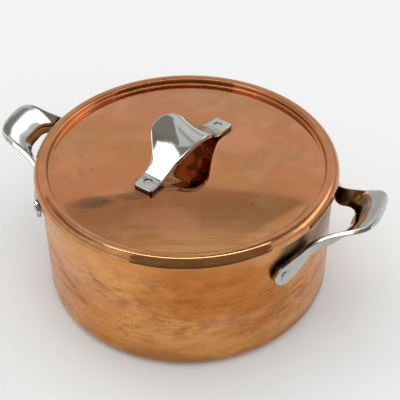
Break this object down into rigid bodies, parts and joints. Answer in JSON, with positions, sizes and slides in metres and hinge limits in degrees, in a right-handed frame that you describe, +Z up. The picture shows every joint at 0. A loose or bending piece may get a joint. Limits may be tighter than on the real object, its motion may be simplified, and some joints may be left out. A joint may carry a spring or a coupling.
{
  "type": "stockpot",
  "caption": "Round copper stockpot with a steel lining, riveted twisted steel strap handles and a lift-off copper lid with a flared strap handle.",
  "frame": {"origin": "middle of the pot's flat base", "axes": "+X through one side handle, +Z up through the middle of the lid"},
  "size_m": [0.3354, 0.2524, 0.1572],
  "materials": {
    "pot_copper": "worn polished copper with heat stains and fine scratches",
    "lid_copper": "worn satin copper with stains and tiny pits",
    "lining_steel": "brushed round the axis",
    "handle_steel": "polished, lightly scratched",
    "rivet_steel": "satin"
  },
  "bodies": {
    "pot": {"pot_body": "pot_copper", "pot_lining": "lining_steel", "side_handle_right": "handle_steel", "side_rivet_right_1": "rivet_steel", "side_rivet_right_2": "rivet_steel", "side_handle_left": "handle_steel", "side_rivet_left_1": "rivet_steel", "side_rivet_left_2": "rivet_steel"},
    "lid": {"lid_shell": "lid_copper", "lid_lining": "lining_steel", "lid_handle": "handle_steel", "lid_rivet_1": "rivet_steel", "lid_rivet_2": "rivet_steel"}
  },
  "joints": [
    {"name": "lid_lift", "type": "slide", "parent": "pot", "child": "lid", "axis": [0, 0, 1], "range_m": [0, 0.12]}
  ]
}
